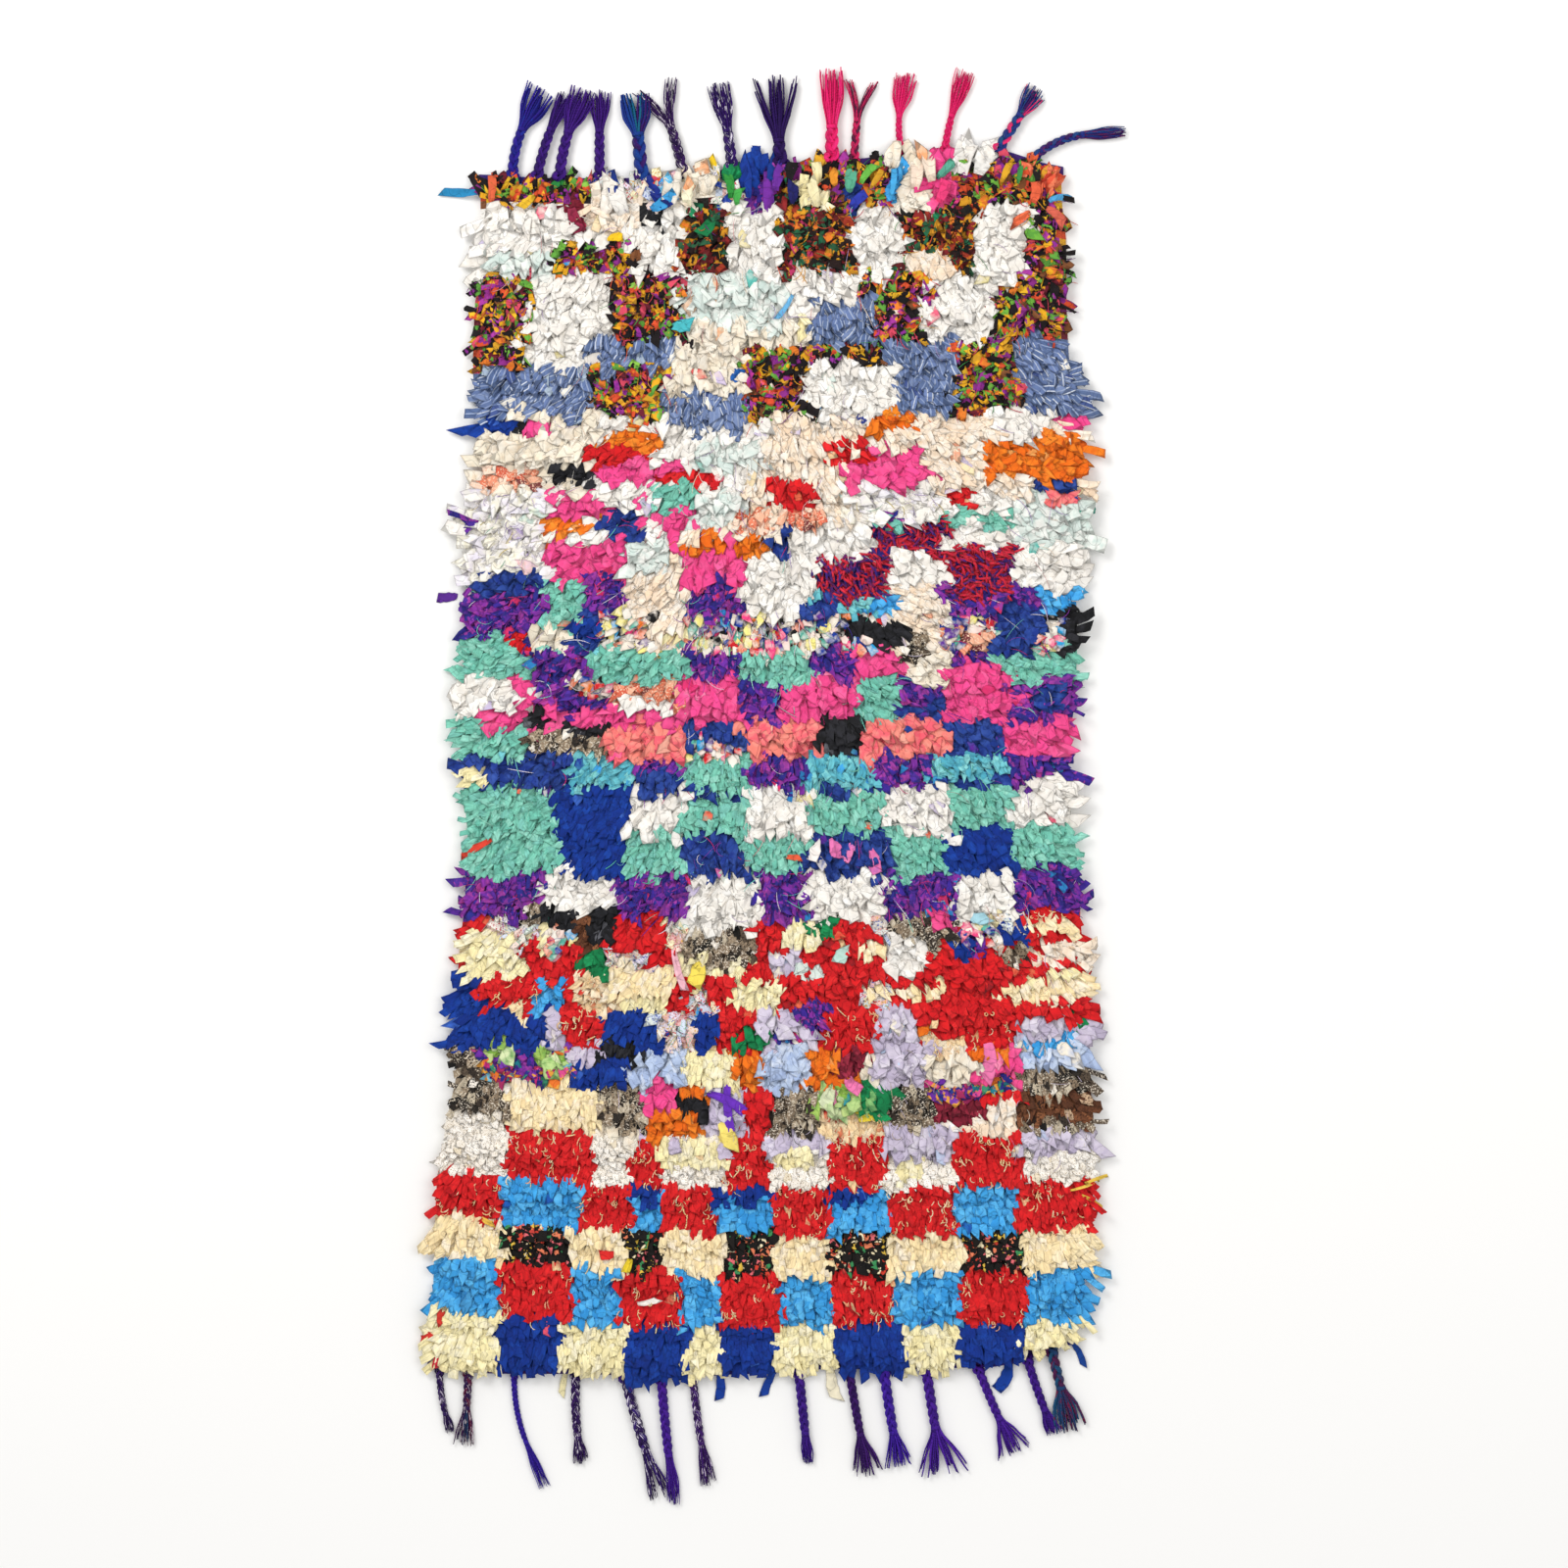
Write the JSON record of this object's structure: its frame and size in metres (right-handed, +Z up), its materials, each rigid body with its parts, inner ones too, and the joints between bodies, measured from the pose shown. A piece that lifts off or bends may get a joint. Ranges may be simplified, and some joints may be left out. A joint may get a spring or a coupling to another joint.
{
  "type": "rag pile rug",
  "caption": "Oblong shaggy rag-pile rug with wavy sides, a lumpy tufted top, a flat underside and a narrow woven band with loose plaited tassels at each end.",
  "frame": {"origin": "middle of the rug's underside, on the floor", "axes": "+X across the rug to the right, +Y along it from the foot to the head, +Z up through the pile"},
  "size_m": [1.1771, 2.3453, 0.0322],
  "materials": {
    "cotton_rag_pile": "matte",
    "purple_warp_yarn": "matte"
  },
  "bodies": {
    "root": {"rug_body": "cotton_rag_pile", "fringe_head": "purple_warp_yarn", "fringe_foot": "purple_warp_yarn"}
  },
  "joints": []
}
